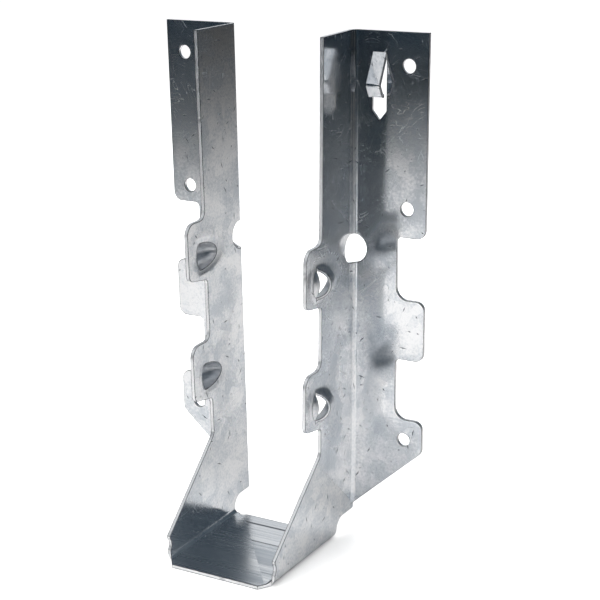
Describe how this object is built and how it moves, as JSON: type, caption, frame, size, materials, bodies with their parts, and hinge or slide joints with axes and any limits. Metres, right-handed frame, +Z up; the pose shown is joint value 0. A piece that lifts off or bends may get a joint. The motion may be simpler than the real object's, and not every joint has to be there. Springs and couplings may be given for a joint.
{
  "type": "joist hanger",
  "caption": "U-shaped joist hanger folded from one galvanised sheet: a seat, side walls with domed nail guides, and turned-out flanges with nail holes.",
  "frame": {"origin": "on the underside of the seat, midway between the two walls, and midway in the depth between the seat's front edge and the backs of the flanges", "axes": "+Z up the walls, +Y from the joist towards the header that the flanges are nailed to, +X across the joist to the right of someone facing the header"},
  "size_m": [0.093, 0.056, 0.1683],
  "materials": {
    "galvanised_sheet": "hot-dip galvanised sheet, satin, with faint mottling and fine handling marks"
  },
  "bodies": {
    "root": {"joist_hanger": "galvanised_sheet"}
  },
  "joints": []
}
